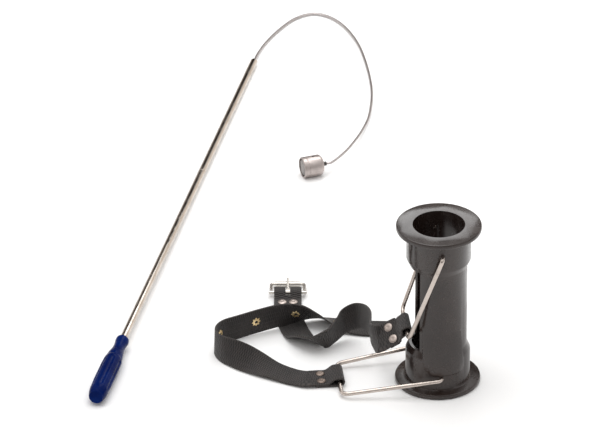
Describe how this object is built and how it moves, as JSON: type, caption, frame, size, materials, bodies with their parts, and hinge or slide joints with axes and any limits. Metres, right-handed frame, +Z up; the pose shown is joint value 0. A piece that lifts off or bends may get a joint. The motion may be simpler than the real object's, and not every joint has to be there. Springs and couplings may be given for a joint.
{
  "type": "cattle magnet retriever set",
  "caption": "Long-handled screw-jointed rod with a magnet head on a wire rope, and a flanged tubular mouth gag with hinged wire bails and webbing head straps.",
  "frame": {"origin": "middle of the mouth gag's base, on the axis of its bore", "axes": "+Z up along the gag's bore; +Y away from the viewer, roughly the way the rod points; +X to the right"},
  "size_m": [0.4481, 0.9196, 0.205],
  "materials": {
    "gag_plastic": "satin moulded",
    "bail_wire": "nickel plated",
    "webbing": "woven webbing",
    "brass": "polished",
    "rivet_metal": "nickel plated",
    "buckle_metal": "pale plated",
    "handle_plastic": "glossy moulded",
    "rod_chrome": "bright plated",
    "turned_steel": "turned",
    "wire_rope": "stranded",
    "dark_steel": "dark",
    "magnet_steel": "turned and satin",
    "potting": "matte",
    "magnet_face": "ground"
  },
  "bodies": {
    "gag": {"gag_body": "gag_plastic", "eyelet_strap": "webbing", "buckle_strap": "webbing", "eyelets": "brass", "buckle_rivets": "rivet_metal"},
    "lower_bail": {"lower_bail": "bail_wire", "lower_rivets": "rivet_metal"},
    "upper_bail": {"upper_bail": "bail_wire", "upper_rivets": "rivet_metal"},
    "buckle": {"buckle_frame": "buckle_metal"},
    "roller": {"buckle_roller": "buckle_metal"},
    "prong": {"buckle_prong": "buckle_metal"},
    "retriever": {"handle": "handle_plastic", "rod_section_1": "rod_chrome", "spigot_1": "turned_steel"},
    "rod_2": {"socket_1": "turned_steel", "rod_section_2": "rod_chrome", "spigot_2": "turned_steel"},
    "rod_3": {"socket_2": "turned_steel", "rod_section_3": "rod_chrome", "tip_bush": "turned_steel", "cable": "wire_rope", "crimp_sleeve": "dark_steel", "magnet_housing": "magnet_steel", "magnet_ring": "potting", "magnet_core": "magnet_face", "set_screw": "dark_steel"}
  },
  "joints": [
    {"name": "lower_bail_hinge", "type": "hinge", "parent": "gag", "child": "lower_bail", "pos_m": [0, 0, 0.022], "axis": [-0.1045, 0.9945, 0], "range_deg": [0, 25], "deforming": ["eyelet_strap"]},
    {"name": "upper_bail_hinge", "type": "hinge", "parent": "gag", "child": "upper_bail", "pos_m": [0, 0, 0.183], "axis": [-0.1045, 0.9945, 0], "range_deg": [0, 45], "deforming": ["buckle_strap"]},
    {"name": "buckle_hinge", "type": "hinge", "parent": "gag", "child": "buckle", "pos_m": [-0.172, 0.182, 0.0057], "axis": [1, 0, 0], "range_deg": [0, 60]},
    {"name": "roller_spin", "type": "hinge", "parent": "buckle", "child": "roller", "pos_m": [-0.172, 0.20489, 0.00341], "axis": [1, 0, 0], "continuous": true},
    {"name": "prong_hinge", "type": "hinge", "parent": "buckle", "child": "prong", "pos_m": [-0.172, 0.182, 0.0057], "axis": [1, 0, 0], "range_deg": [0, 95]},
    {"name": "retriever_lift", "type": "slide", "parent": "gag", "child": "retriever", "axis": [0, 0, 1], "range_m": [0, 0.25]},
    {"name": "screw_joint_1", "type": "slide", "parent": "retriever", "child": "rod_2", "axis": [0.2181, 0.9759, -0.0087], "range_m": [0, 0.05]},
    {"name": "screw_joint_2", "type": "slide", "parent": "rod_2", "child": "rod_3", "axis": [0.2181, 0.9759, -0.0087], "range_m": [0, 0.05]}
  ]
}
